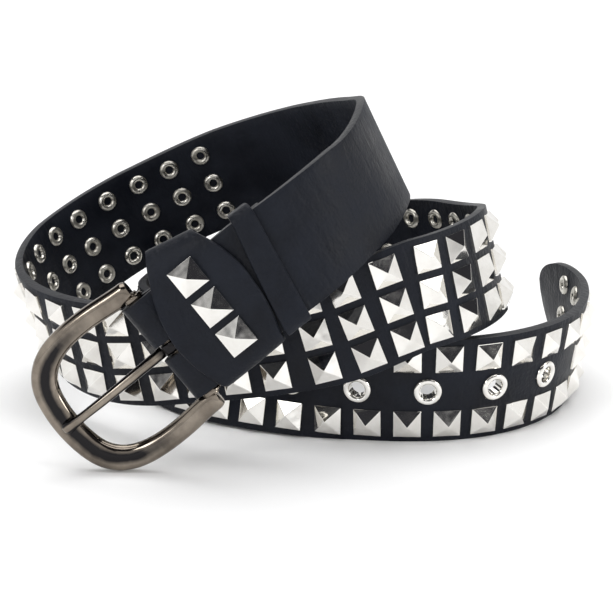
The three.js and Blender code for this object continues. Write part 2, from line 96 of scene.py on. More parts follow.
STATIONS = [
    Station(run=0 / 26, side=-0.222, deep=-0.417, low=0.781, lean=3),
    Station(run=1 / 26, side=-0.071, deep=-0.422, low=1.42, lean=-12),
    Station(run=2 / 26, side=0.074, deep=-0.337, low=1.9, lean=-17),
    Station(run=3 / 26, side=0.132, deep=-0.156, low=2.12, lean=-25),
    Station(run=4 / 26, side=0.107, deep=0.036, low=1.97, lean=-26),
    Station(run=5 / 26, side=0.018, deep=0.205, low=1.71, lean=-19),
    Station(run=6 / 26, side=-0.141, deep=0.298, low=1.37, lean=-11),
    Station(run=7 / 26, side=-0.319, deep=0.280, low=0.96, lean=0),
    Station(run=8 / 26, side=-0.459, deep=0.163, low=0.57, lean=17),
    Station(run=9 / 26, side=-0.480, deep=-0.026, low=0.34, lean=20),
    Station(run=10 / 26, side=-0.365, deep=-0.184, low=0.26, lean=12),
    Station(run=11 / 26, side=-0.188, deep=-0.272, low=0.43, lean=0),
    Station(run=12 / 26, side=0.002, deep=-0.328, low=0.65, lean=1),
    Station(run=13 / 26, side=0.192, deep=-0.309, low=0.98, lean=-9),
    Station(run=14 / 26, side=0.316, deep=-0.161, low=1.05, lean=-13),
    Station(run=15 / 26, side=0.305, deep=0.034, low=0.89, lean=-13),
    Station(run=16 / 26, side=0.185, deep=0.186, low=0.71, lean=0),
    Station(run=17 / 26, side=0.021, deep=0.281, low=0.42, lean=0),
    Station(run=18 / 26, side=-0.168, deep=0.274, low=0.16, lean=11),
    Station(run=19 / 26, side=-0.286, deep=0.125, low=0, lean=10),
    Station(run=20 / 26, side=-0.236, deep=-0.062, low=0, lean=-10),
    Station(run=21 / 26, side=-0.075, deep=-0.176, low=0, lean=-15),
    Station(run=22 / 26, side=0.110, deep=-0.249, low=0, lean=5),
    Station(run=23 / 26, side=0.306, deep=-0.236, low=0, lean=8),
    Station(run=24 / 26, side=0.449, deep=-0.105, low=0, lean=10),
    Station(run=25 / 26, side=0.496, deep=0.088, low=0.04, lean=8),
    Station(run=26 / 26, side=0.46, deep=0.283, low=0.1, lean=-13),
]


@dataclass(frozen=True)
class StrapSizes:
    """Sizes of the strap and of what is set into it, in metres."""

    length: float = 1.035
    width: float = 0.038
    thickness: float = 0.0031
    tip_taper: float = 0.027
    tip_end_width: float = 0.005
    coil_span_share: float = 5.175
    layer_gap: float = 0.0003
    fold_radius: float = 0.0041
    fold_taper: float = 0.013
    turned_back: float = 0.052
    slot_run: float = 0.009
    slot_width: float = 0.0056
    stud_size: float = 0.0096
    stud_height: float = 0.0039
    column_pitch: float = 0.0136
    row_pitch: float = 0.0121
    plain_run: float = 0.247
    wide_gap_column: int = 17
    wide_gap_extra: float = 0.0023
    column_count: int = 57
    eyelet_count: int = 6
    eyelet_first: float = 2
    eyelet_spacing: float = 1.75
    eyelet_anchor_column: int = 53
    eyelet_hole_radius: float = 0.00275
    eyelet_flange_radius: float = 0.005

    def column_run(self, column: int) -> float:
        """Run of a column of studs."""
        extra = self.wide_gap_extra if column >= self.wide_gap_column else 0.0
        return self.plain_run + column * self.column_pitch + extra

    def eyelet_run(self, index: int) -> float:
        """Run of an eyelet, counted back from the tip."""
        back = self.eyelet_first + index * self.eyelet_spacing
        return self.column_run(self.eyelet_anchor_column) - back * self.column_pitch

    def stud_places(self) -> list[tuple[float, float]]:
        """Run and distance up from the lower edge of every stud in the field.

        Returns:
            One pair for each stud: three rows, but no middle one among the eyelets.
        """
        first = self.eyelet_run(self.eyelet_count - 1) - 0.8 * self.column_pitch
        last = self.eyelet_run(0) + 1.5 * self.column_pitch
        places = []
        for column in range(self.column_count):
            run = self.column_run(column)
            rows = (-1, 1) if first < run < last else (-1, 0, 1)
            places += [(run, self.width / 2 + row * self.row_pitch) for row in rows]
        return places


Curve = Callable[[float], tuple[float, float]]


def natural_spline(at: list[float], values: list[float]) -> Curve:
    """Makes the smooth curve through the values that is free at both ends.

    Args:
        at: where the values stand, rising.
        values: the values there.

    Returns:
        A function that gives the curve's value and slope.
    """
    count = len(at)
    bend, lead, load = [0.0] * count, [0.0] * count, [0.0] * count
    for i in range(1, count - 1):
        left, right = at[i] - at[i - 1], at[i + 1] - at[i]
        rise = (values[i + 1] - values[i]) / right - (values[i] - values[i - 1]) / left
        pivot = 2 * (left + right) - left * lead[i - 1]
        lead[i] = right / pivot
        load[i] = (6 * rise - left * load[i - 1]) / pivot
    for i in range(count - 2, 0, -1):
        bend[i] = load[i] - lead[i] * bend[i + 1]

    def curve(x: float) -> tuple[float, float]:
        """The value and the slope at x."""
        i = 0
        while i < count - 2 and x > at[i + 1]:
            i += 1
        span = at[i + 1] - at[i]
        a = (at[i + 1] - x) / span
        b = 1 - a
        value = a * values[i] + b * values[i + 1]
        value += ((a**3 - a) * bend[i] + (b**3 - b) * bend[i + 1]) * span**2 / 6
        turn = ((3 * b * b - 1) * bend[i + 1] - (3 * a * a - 1) * bend[i]) * span / 6
        return value, (values[i + 1] - values[i]) / span + turn

    return curve


def steady_spline(at: list[float], values: list[float]) -> Curve:
    """Makes the smooth curve through the values that never passes its neighbours.

    Args:
        at: where the values stand, rising.
        values: the values there.

    Returns:
        A function that gives the curve's value and slope.
    """
    count = len(at)
    step = [(values[i + 1] - values[i]) / (at[i + 1] - at[i]) for i in range(count - 1)]
    slopes = [step[0]]
    for before, after in zip(step, step[1:]):
        slopes.append(0.0 if before * after <= 0 else 2 * before * after / (before + after))
    slopes.append(step[-1])

    def curve(x: float) -> tuple[float, float]:
        """The value and the slope at x."""
        i = 0
        while i < count - 2 and x > at[i + 1]:
            i += 1
        span = at[i + 1] - at[i]
        t = (x - at[i]) / span
        rise = values[i + 1] - values[i]
        value = values[i] + rise * (3 * t * t - 2 * t**3)
        value += (t**3 - 2 * t * t + t) * slopes[i] * span + (t**3 - t * t) * slopes[i + 1] * span
        slope = rise * (6 * t - 6 * t * t) / span
        slope += (3 * t * t - 4 * t + 1) * slopes[i] + (3 * t * t - 2 * t) * slopes[i + 1]
        return value, slope

    return curve


class StrapPath:
    """Where the strap runs: it turns a place on the flat strap into a place in the coil."""

    def __init__(self, sizes: StrapSizes, bar_middle: Vector) -> None:
        """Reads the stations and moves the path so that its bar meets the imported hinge.

        Args:
            sizes: the strap's sizes.
            bar_middle: the middle of the buckle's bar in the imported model.
        """
        self.sizes = sizes
        runs = [s.run * sizes.length for s in STATIONS]
        span = sizes.length / sizes.coil_span_share
        self.side_at = natural_spline(runs, [s.side * span for s in STATIONS])
        self.deep_at = natural_spline(runs, [s.deep * span for s in STATIONS])
        self.low_at = steady_spline(runs, [s.low * sizes.width for s in STATIONS])
        self.lean_at = steady_spline(runs, [s.lean for s in STATIONS])
        self.half_thickness = sizes.thickness / 2
        self.layer_spread = self.half_thickness + sizes.layer_gap / 2
        self.shift = Vector()
        self.shift = bar_middle - self.place(0, sizes.width / 2, -self.layer_spread)

    def frame(self, run: float) -> tuple[Vector, Vector, Vector, Vector]:
        """Gives the strap's middle and its directions.

        Args:
            run: the distance along the strap.

        Returns:
            The middle, and the directions along, up and out.
        """
        held = min(max(run, 0.0), self.sizes.length)
        side, side_slope = self.side_at(held)
        deep, deep_slope = self.deep_at(held)
        low, low_slope = self.low_at(held)
        along = Vector((side_slope, deep_slope, low_slope)).normalized()
        upright = (Vector((0, 0, 1)) - along * along.z).normalized()
        level = along.cross(upright)
        lean = math.radians(self.lean_at(held)[0])
        up = upright * math.cos(lean) + level * math.sin(lean)
        out = along.cross(up)
        height = low + self.sizes.width / 2 * up.z + self.half_thickness * abs(out.z)
        middle = Vector((side, deep, height)) + along * (run - held) + self.shift
        return middle, along, up, out

    def place(self, run: float, across: float, out: float) -> Vector:
        """Gives a point on or off the strap.

        Args:
            run: the distance along the strap.
            across: the distance up from the lower edge.
            out: the distance out from the middle of the leather.

        Returns:
            The point in the coil.
        """
        middle, _, up, outwards = self.frame(run)
        return middle + up * (across - self.sizes.width / 2) + outwards * out

    def spread_at(self, run: float) -> float:
        """How far each layer stands from the middle of the two, as they open round the bar."""
        t = min(max(run / self.sizes.fold_taper, 0.0), 1.0)
        ease = 1 - t * t * (3 - 2 * t)
        return self.layer_spread + (self.sizes.fold_radius - self.layer_spread) * ease

    def flat_start(self) -> float:
        """Where the bar's fold ends on the flat strap, counted from the turned-back end."""
        return self.sizes.turned_back + math.pi * self.sizes.fold_radius

    def edge_on(self, flat_run: float) -> tuple[float, float]:
        """Follows the flat strap round the bar's fold.

        Args:
            flat_run: the distance from the turned-back end of the flat strap.

        Returns:
            The run there, and how far out the middle of the leather is.
        """
        if flat_run < self.sizes.turned_back:
            run = self.sizes.turned_back - flat_run
            return run, -self.layer_spread - self.spread_at(run)
        run = flat_run - self.flat_start()
        if run < 0:
            angle = (flat_run - self.sizes.turned_back) / self.sizes.fold_radius - math.pi / 2
            radius = self.sizes.fold_radius
            return -radius * math.cos(angle), -self.layer_spread + radius * math.sin(angle)
        if run < self.sizes.turned_back:
            return run, -self.layer_spread + self.spread_at(run)
        return run, 0.0

    def lay(self, flat: Vector) -> Vector:
        """Bends a point of the flat strap into the coil.

        Args:
            flat: its distances along, up and out.

        Returns:
            Its place in the coil.
        """
        reach = 0.0004
        run, out = self.edge_on(flat.x)
        before, after = self.edge_on(flat.x - reach), self.edge_on(flat.x + reach)
        slope = Vector((after[0] - before[0], after[1] - before[1])).normalized()
        return self.place(run - slope.y * flat.z, flat.y, out + slope.x * flat.z)

    def seat(self, run: float, across: float, out: float) -> Matrix:
        """Stands a small piece, modelled along +Z, on the strap.

        Args:
            run: the distance along the strap.
            across: the distance up from the lower edge.
            out: the distance out from the middle of the leather.

        Returns:
            The matrix that takes it there.
        """
        _, along, up, outwards = self.frame(run)
        turn = Matrix((along, up, outwards)).transposed().to_4x4()
        return Matrix.Translation(self.place(run, across, out)) @ turn


def eased(value: float, low: float, high: float) -> float:
    """Rises smoothly from 0 to 1.

    Args:
        value: the value to ease.
        low: where the rise starts.
        high: where it ends.

    Returns:
        How far the rise has come.
    """
    share = min(max((value - low) / (high - low), 0.0), 1.0)
    return share * share * (3 - 2 * share)


def rounded_off(share: float) -> float:
    """Height of a quarter circle at a share of its width, and 1 past it."""
    return math.sqrt(max(0.0, 1 - (1 - min(share, 1.0)) ** 2))


def pick(*objects: bpy.types.Object) -> None:
    """Selects just these objects and makes the first one active."""
    bpy.ops.object.select_all(action="DESELECT")
    for obj in objects:
        obj.select_set(True)
    bpy.context.view_layer.objects.active = objects[0]


def named(name: str) -> bpy.types.Object:
    """Names the object that an operator has just added."""
    obj = bpy.context.active_object
    obj.name = name
    obj.data.name = name
    return obj


def finish_with(obj: bpy.types.Object, kind: str, **settings: object) -> None:
    """Adds a modifier with these settings and applies it.

    Args:
        obj: the piece.
        kind: the modifier's type.
        settings: its properties by name.
    """
    pick(obj)
    modifier = obj.modifiers.new(kind.title(), kind)
    for key, value in settings.items():
        setattr(modifier, key, value)
    bpy.ops.object.modifier_apply(modifier=modifier.name)


def tidy_surface(obj: bpy.types.Object, smooth_below: float) -> None:
    """Merges doubles, turns the faces outwards and smooths the gentle edges.

    Args:
        obj: the piece.
        smooth_below: the angle in degrees under which an edge is smooth.
    """
    pick(obj)
    bpy.ops.object.mode_set(mode="EDIT")
    bpy.ops.mesh.select_all(action="SELECT")
    bpy.ops.mesh.remove_doubles(threshold=1e-6)
    bpy.ops.mesh.normals_make_consistent(inside=False)
    bpy.ops.object.mode_set(mode="OBJECT")
    bpy.ops.object.shade_smooth_by_angle(angle=math.radians(smooth_below))


def drawn_tube(
    name: str, rings: int, sides: int, rule: Callable[[float, float], Vector]
) -> bpy.types.Object:
    """Draws a closed ball out into a tube.

    Args:
        name: the piece's name.
        rings: how many rings lie along it.
        sides: how many points each ring has.
        rule: gives the place of a point from its share of the length and its angle round it.

    Returns:
        The tube.
    """
    pick_nothing()
    bpy.ops.mesh.primitive_uv_sphere_add(segments=sides, ring_count=rings, radius=1)
    tube = named(name)
    for vertex in tube.data.vertices:
        x, y, z = vertex.co
        share = math.acos(min(max(-z, -1.0), 1.0)) / math.pi
        vertex.co = rule(share, math.atan2(y, x))
    return tube


def drawn_loop(
    name: str, rings: int, sides: int, rule: Callable[[float, float], Vector]
) -> bpy.types.Object:
    """Draws a plain ring out into a loop of any section.

    Args:
        name: the piece's name.
        rings: how many sections lie along the loop.
        sides: how many points each section has.
        rule: gives the place of a point from its share of the loop and of the section.

    Returns:
        The loop.
    """
    pick_nothing()
    bpy.ops.mesh.primitive_torus_add(
        major_segments=rings, minor_segments=sides, major_radius=1, minor_radius=0.25
    )
    loop = named(name)
    for vertex in loop.data.vertices:
        x, y, z = vertex.co
        round_loop = math.atan2(y, x) / (2 * math.pi) % 1.0
        round_section = math.atan2(z, math.hypot(x, y) - 1) / (2 * math.pi) % 1.0
        vertex.co = rule(round_loop, round_section)
    return loop


def turned(name: str, profile: list[tuple[float, float]], steps: int) -> bpy.types.Object:
    """Turns a closed profile round the Z axis, as on a lathe.

    Args:
        name: the piece's name.
        profile: radius and height of each point, in order round the profile.
        steps: how many faces go round.

    Returns:
        The turned ring.
    """
    def rule(round_loop: float, round_section: float) -> Vector:
        """Place of a point of the ring."""
        radius, height = profile[round(round_section * len(profile)) % len(profile)]
        angle = 2 * math.pi * round_loop
        return Vector((radius * math.cos(angle), radius * math.sin(angle), height))

    return drawn_loop(name, steps, len(profile), rule)


def pick_nothing() -> None:
    """Deselects everything, in object mode."""
    if bpy.context.mode != "OBJECT":
        bpy.ops.object.mode_set(mode="OBJECT")
    bpy.ops.object.select_all(action="DESELECT")


def copies(name: str, model: bpy.types.Object, places: list[Matrix]) -> bpy.types.Object:
    """Sets a copy of a small model, with its own mesh, at each place and joins them.

    Args:
        name: the joined piece's name.
        model: the piece modelled once, about the origin. It is used up.
        places: where each copy goes.

    Returns:
        The joined piece.
    """
    made = []
    for matrix in places:
        copy = model.copy()
        copy.data = model.data.copy()
        copy.data.transform(matrix)
        bpy.context.scene.collection.objects.link(copy)
        made.append(copy)
    bpy.data.objects.remove(model)
    pick(*made)
    bpy.ops.object.join()
    return named(name)


class Nodes:
    """Short hand for laying out a node tree."""

    def __init__(self, tree: bpy.types.NodeTree) -> None:
        """Holds the tree that nodes are added to."""
        self.tree = tree

    def add(self, kind: str, **values: object) -> bpy.types.Node:
        """Adds a node.

        Args:
            kind: the node's type, such as ShaderNodeTexNoise.
            values: properties of the node, or values of its inputs by name.

        Returns:
            The node.
        """
        node = self.tree.nodes.new(kind)
        for key, value in values.items():
            label = key.replace("_", " ").title()
            if key in node.bl_rna.properties:
                setattr(node, key, value)
            else:
                node.inputs[label].default_value = value
        return node

    def link(self, out: bpy.types.NodeSocket, into: bpy.types.NodeSocket) -> None:
        """Joins two sockets."""
        self.tree.links.new(out, into)


def group_tree(name: str, takes: dict[str, object], gives: list[str]) -> bpy.types.NodeTree:
    """Makes an empty shader node group with named sockets.

    Args:
        name: the group's name.
        takes: each input's name and its first value; a None is a vector.
        gives: the outputs' names, all of them values.

    Returns:
        The group's tree, with its input and output nodes.
    """
    tree = bpy.data.node_groups.new(name, "ShaderNodeTree")
    for label, value in takes.items():
        kind = "NodeSocketVector" if value is None else "NodeSocketFloat"
        socket = tree.interface.new_socket(label, in_out="INPUT", socket_type=kind)
        if value is not None:
            socket.default_value = value
    for label in gives:
        tree.interface.new_socket(label, in_out="OUTPUT", socket_type="NodeSocketFloat")
    tree.nodes.new("NodeGroupInput")
    tree.nodes.new("NodeGroupOutput")
    return tree


class Effects:
    """The shader node groups that more than one finish uses."""

    def __init__(self) -> None:
        """Builds each group once."""
        self.handling = self._handling()
        self.grain = self._grain()

    @staticmethod
    def _handling() -> bpy.types.NodeTree:
        """Soft cloudy change between two values, as fingers and rubbing leave."""
        takes = {"Vector": None, "Scale": 60.0, "Low": 0.3, "High": 0.5}
        tree = group_tree("handling", takes, ["Value", "Mask"])
        nodes = Nodes(tree)
        given, result = tree.nodes["Group Input"], tree.nodes["Group Output"]
        cloud = nodes.add("ShaderNodeTexNoise", detail=4.0, roughness=0.6)
        spread = nodes.add("ShaderNodeMapRange", from_min=0.35, from_max=0.65)
        nodes.link(given.outputs["Vector"], cloud.inputs["Vector"])
        nodes.link(given.outputs["Scale"], cloud.inputs["Scale"])
        nodes.link(cloud.outputs["Fac"], spread.inputs["Value"])
        nodes.link(spread.outputs["Result"], result.inputs["Mask"])
        between = nodes.add("ShaderNodeMapRange", from_min=0.35, from_max=0.65)
        nodes.link(cloud.outputs["Fac"], between.inputs["Value"])
        nodes.link(given.outputs["Low"], between.inputs["To Min"])
        nodes.link(given.outputs["High"], between.inputs["To Max"])
        nodes.link(between.outputs["Result"], result.inputs["Value"])
        return tree

    @staticmethod
    def _grain() -> bpy.types.NodeTree:
        """Fine pebbled height, from small cells and a finer noise over them."""
        tree = group_tree("grain", {"Vector": None, "Scale": 900.0, "Fine": 0.4}, ["Height"])
        nodes = Nodes(tree)
        given, result = tree.nodes["Group Input"], tree.nodes["Group Output"]
        cells = nodes.add("ShaderNodeTexVoronoi", feature="SMOOTH_F1")
        finer = nodes.add("ShaderNodeTexNoise", detail=3.0)
        triple = nodes.add("ShaderNodeMath", operation="MULTIPLY")
        triple.inputs[1].default_value = 3.0
        share = nodes.add("ShaderNodeMath", operation="MULTIPLY")
        total = nodes.add("ShaderNodeMath", operation="ADD")
        for texture in (cells, finer):
            nodes.link(given.outputs["Vector"], texture.inputs["Vector"])
        nodes.link(given.outputs["Scale"], cells.inputs["Scale"])
        nodes.link(given.outputs["Scale"], triple.inputs[0])
        nodes.link(triple.outputs[0], finer.inputs["Scale"])
        nodes.link(finer.outputs["Fac"], share.inputs[0])
        nodes.link(given.outputs["Fine"], share.inputs[1])
        nodes.link(cells.outputs["Distance"], total.inputs[0])
        nodes.link(share.outputs[0], total.inputs[1])
        nodes.link(total.outputs[0], result.inputs["Height"])
        return tree


Color = tuple[float, float, float]
# Name of the mesh attribute that says where painted shade darkens the metal's plating.
SHADED_MARK = "shaded"


@dataclass(frozen=True)
class LeatherFinish:
    """Matt black coated leather with a fine grain and faint creases across the strap."""

    name: str
    effects: Effects
    dark: Color = (0.0016, 0.0026, 0.0062)
    light: Color = (0.0072, 0.0094, 0.0160)
    shine: float = 0.2
    smoothest: float = 0.38
    roughest: float = 0.60
    grain_scale: float = 950.0
    grain_depth: float = 0.00024
    crease_depth: float = 0.0009
    follows_strap: bool = True

    def build(self) -> bpy.types.Material:
        """Builds the material."""
        material, nodes, shader = new_material(self.name)
        shader.inputs["Specular IOR Level"].default_value = self.shine
        if self.follows_strap:
            place = nodes.add("ShaderNodeUVMap", uv_map="strap").outputs["UV"]
        else:
            place = nodes.add("ShaderNodeTexCoord").outputs["Object"]
        marks = nodes.add("ShaderNodeGroup", node_tree=self.effects.handling)
        marks.inputs["Scale"].default_value = 45.0
        marks.inputs["Low"].default_value = self.smoothest
        marks.inputs["High"].default_value = self.roughest
        nodes.link(place, marks.inputs["Vector"])
        nodes.link(marks.outputs["Value"], shader.inputs["Roughness"])
        tone = nodes.add("ShaderNodeMix", data_type="RGBA")
        tone.inputs["A"].default_value = (*self.dark, 1)
        tone.inputs["B"].default_value = (*self.light, 1)
        nodes.link(marks.outputs["Mask"], tone.inputs["Factor"])
        nodes.link(tone.outputs["Result"], shader.inputs["Base Color"])
        grain = nodes.add("ShaderNodeGroup", node_tree=self.effects.grain)
        grain.inputs["Scale"].default_value = self.grain_scale
        nodes.link(place, grain.inputs["Vector"])
        squeeze = nodes.add("ShaderNodeMapping")
        squeeze.inputs["Scale"].default_value = (1.0, 0.22, 1.0)
        crease = nodes.add("ShaderNodeTexNoise", scale=260.0, detail=5.0, distortion=0.6)
        nodes.link(place, squeeze.inputs["Vector"])
        nodes.link(squeeze.outputs["Vector"], crease.inputs["Vector"])
        folds = nodes.add("ShaderNodeBump", strength=0.5, distance=self.crease_depth)
        nodes.link(crease.outputs["Fac"], folds.inputs["Height"])
        pebbles = nodes.add("ShaderNodeBump", strength=0.6, distance=self.grain_depth)
        nodes.link(grain.outputs["Height"], pebbles.inputs["Height"])
        nodes.link(folds.outputs["Normal"], pebbles.inputs["Normal"])
        nodes.link(pebbles.outputs["Normal"], shader.inputs["Normal"])
        return material


@dataclass(frozen=True)
class MetalFinish:
    """Polished plated metal with faint handling marks and a slightly uneven surface."""

    name: str
    effects: Effects
    bright: Color
    dull: Color
    smoothest: float
    roughest: float
    marks_scale: float = 180.0
    wave_scale: float = 220.0
    wave_depth: float = 0.00006
    # Colour of the painted shade that the mesh's shaded mark lays on the plating; None lays none.
    shaded: Color | None = None

    def build(self) -> bpy.types.Material:
        """Builds the material."""
        material, nodes, shader = new_material(self.name)
        shader.inputs["Metallic"].default_value = 1.0
        place = nodes.add("ShaderNodeTexCoord").outputs["Object"]
        marks = nodes.add("ShaderNodeGroup", node_tree=self.effects.handling)
        marks.inputs["Scale"].default_value = self.marks_scale
        marks.inputs["Low"].default_value = self.smoothest
        marks.inputs["High"].default_value = self.roughest
        nodes.link(place, marks.inputs["Vector"])
        nodes.link(marks.outputs["Value"], shader.inputs["Roughness"])
        tone = nodes.add("ShaderNodeMix", data_type="RGBA")
        tone.inputs["A"].default_value = (*self.bright, 1)
        tone.inputs["B"].default_value = (*self.dull, 1)
        nodes.link(marks.outputs["Mask"], tone.inputs["Factor"])
        nodes.link(tone.outputs["Result"], shader.inputs["Base Color"])
        # Painted shade: darkens the plating where the mesh is marked.
        if self.shaded:
            self._shade(nodes, shader, place, tone.outputs["Result"])
        wave = nodes.add("ShaderNodeTexNoise", scale=self.wave_scale, detail=1.0)
        bump = nodes.add("ShaderNodeBump", strength=0.5, distance=self.wave_depth)
        nodes.link(place, wave.inputs["Vector"])
        nodes.link(wave.outputs["Fac"], bump.inputs["Height"])
        nodes.link(bump.outputs["Normal"], shader.inputs["Normal"])
        return material

    def _shade(
        self, nodes: Nodes, shader: bpy.types.Node, place: bpy.types.NodeSocket,
        color: bpy.types.NodeSocket,
    ) -> None:
        """Darkens the plating with painted shade where the mesh's own mark asks for it.

        Args:
            nodes: the material's nodes.
            shader: its main shader.
            place: the place that textures follow.
            color: the plating's colour outside the painted shade.
        """
        mark = nodes.add("ShaderNodeAttribute", attribute_name=SHADED_MARK)
        streaks = nodes.add("ShaderNodeTexNoise", scale=130.0, detail=3.0, distortion=0.8)
        nodes.link(place, streaks.inputs["Vector"])
        ragged = nodes.add("ShaderNodeMath", operation="MULTIPLY_ADD")
        ragged.inputs[1].default_value = 0.75
        nodes.link(streaks.outputs["Fac"], ragged.inputs[0])
        nodes.link(mark.outputs["Fac"], ragged.inputs[2])
        edge = nodes.add("ShaderNodeMapRange", from_min=0.42, from_max=1.12)
        nodes.link(ragged.outputs[0], edge.inputs["Value"])
        mix = nodes.add("ShaderNodeMix", data_type="RGBA")
        mix.inputs["B"].default_value = (*self.shaded, 1)
        nodes.link(edge.outputs["Result"], mix.inputs["Factor"])
        nodes.link(color, mix.inputs["A"])
        nodes.link(mix.outputs["Result"], shader.inputs["Base Color"])


def new_material(name: str) -> tuple[bpy.types.Material, Nodes, bpy.types.Node]:
    """Starts a material.

    Args:
        name: the material's name.

    Returns:
        The material, its nodes and its main shader.
    """
    material = bpy.data.materials.new(name)
    material.use_nodes = True
    return material, Nodes(material.node_tree), material.node_tree.nodes["Principled BSDF"]


@dataclass
class Finishes:
    """Every finish on the belt, built once."""

    effects: Effects = field(default_factory=Effects)

    def __post_init__(self) -> None:
        """Builds the materials."""
        self.strap_leather = LeatherFinish("strap_leather", self.effects).build()
        self.keeper_leather = LeatherFinish(
            "keeper_leather", self.effects, follows_strap=False
        ).build()
        self.edge_paint = LeatherFinish(
            "edge_paint", self.effects, dark=(0.02, 0.021, 0.024), light=(0.045, 0.046, 0.05),
            smoothest=0.35, roughest=0.6, crease_depth=0.0004,
        ).build()
        self.nickel = MetalFinish(
            "nickel", self.effects, (0.87, 0.855, 0.82), (0.80, 0.78, 0.74), 0.035, 0.10
        ).build()
        self.aged_nickel = MetalFinish(
            "aged_nickel", self.effects, (0.62, 0.60, 0.55), (0.44, 0.42, 0.37), 0.2, 0.36
        ).build()
        # The gunmetal's shaded colour is painted shade, laid on the frame and the prong where their
        # meshes are marked.
        self.gunmetal = MetalFinish(
            "gunmetal", self.effects, (0.30, 0.26, 0.215), (0.15, 0.127, 0.105), 0.07, 0.17,
            marks_scale=75.0, shaded=(0.022, 0.021, 0.022),
        ).build()


def dress(obj: bpy.types.Object, material: bpy.types.Material, body: str) -> None:
    """Gives a piece its material and the body that it rides on.

    Args:
        obj: the piece.
        material: what it is made of.
        body: the CAD body that carries it.
    """
    if not obj.data.materials:
        obj.data.materials.append(material)
    obj.data.materials[0] = material
    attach(obj, body)
    LOG.info("%s: %d faces, rides on %s", obj.name, len(obj.data.polygons), body)


@dataclass
class Strap:
    """The leather strap, from its turned-back end to the point of its tip."""

    path: StrapPath
    columns: int = 860
    rows: int = 10
    edge_round: float = 0.0005
    eyelet_hole_clearance: float = 0.0006

    def build(self, finishes: Finishes) -> None:
        """Cuts the flat blank, punches it and lays it along the path."""
        blank = self._blank()
        self._punch(blank)
        self._paint_edges(blank, finishes)
        self._map_flat(blank)
        for vertex in blank.data.vertices:
            vertex.co = self.path.lay(vertex.co)
        pick(blank)
        bpy.ops.object.shade_smooth_by_angle(angle=math.radians(38))
        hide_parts("strap")
        dress(blank, finishes.strap_leather, "strap")

    def _half_width(self, run: float) -> float:
        """Half the width: full, then narrowing to the rounded point."""
        s = self.path.sizes
        t = max(0.0, (run - (s.length - s.tip_taper)) / s.tip_taper)
        point = s.tip_end_width / 2
        return point + (s.width / 2 - point) * math.sqrt(max(0.0, 1 - min(t, 1.0) ** 2.4))

    def _blank(self) -> bpy.types.Object:
        """A flat grid in the strap's outline, thickened and rounded at its edge."""
        s = self.path.sizes
        start = self.path.flat_start()
        total = start + s.length
        pick_nothing()
        bpy.ops.mesh.primitive_grid_add(x_subdivisions=self.columns, y_subdivisions=self.rows, size=1)
        blank = named("strap_leather")
        for vertex in blank.data.vertices:
            x = (vertex.co.x + 0.5) * total
            half = self._half_width(x - start)
            vertex.co = Vector((x, s.width / 2 + vertex.co.y * 2 * half, 0))
        finish_with(blank, "SOLIDIFY", thickness=s.thickness, offset=0.0, use_even_offset=True)
        finish_with(
            blank, "BEVEL", width=self.edge_round, segments=2, limit_method="ANGLE",
            angle_limit=math.radians(50),
        )
        return blank

    def _punch(self, blank: bpy.types.Object) -> None:
        """Cuts the eyelets' holes and the slot for the prong."""
        s = self.path.sizes
        start = self.path.flat_start()
        cutters = []
        for index in range(s.eyelet_count):
            pick_nothing()
            bpy.ops.mesh.primitive_cylinder_add(
                vertices=32, radius=s.eyelet_hole_radius + self.eyelet_hole_clearance, depth=0.02,
                location=(start + s.eyelet_run(index), s.width / 2, 0),
            )
            cutters.append(named("punch"))
        pick_nothing()
        fold_middle = (s.turned_back + start) / 2
        length = start - s.turned_back + 2 * s.slot_run
        bpy.ops.mesh.primitive_cylinder_add(vertices=24, radius=s.slot_width / 2, depth=0.02)
        slot = named("punch")
        stretch = length / 2 - s.slot_width / 2
        for vertex in slot.data.vertices:
            vertex.co.x += math.copysign(stretch, vertex.co.x) + fold_middle
            vertex.co.y += s.width / 2
        cutters.append(slot)
        pick(*cutters)
        bpy.ops.object.transform_apply(location=True, rotation=True, scale=True)
        bpy.ops.object.join()
        punch = named("punch")
        finish_with(blank, "BOOLEAN", object=punch, operation="DIFFERENCE", solver="EXACT")
        bpy.data.objects.remove(punch)

    def _paint_edges(self, blank: bpy.types.Object, finishes: Finishes) -> None:
        """Gives the cut edges their own finish."""
        blank.data.materials.clear()
        blank.data.materials.append(finishes.strap_leather)
        blank.data.materials.append(finishes.edge_paint)
        for face in blank.data.polygons:
            face.material_index = 1 if abs(face.normal.z) < 0.55 else 0

    @staticmethod
    def _map_flat(blank: bpy.types.Object) -> None:
        """Writes the flat strap's own measures, in metres, as its UV map."""
        for other in list(blank.data.uv_layers):
            blank.data.uv_layers.remove(other)
        layer = blank.data.uv_layers.new(name="strap")
        for loop in blank.data.loops:
            point = blank.data.vertices[loop.vertex_index].co
            layer.data[loop.index].uv = (point.x, point.y + point.z)


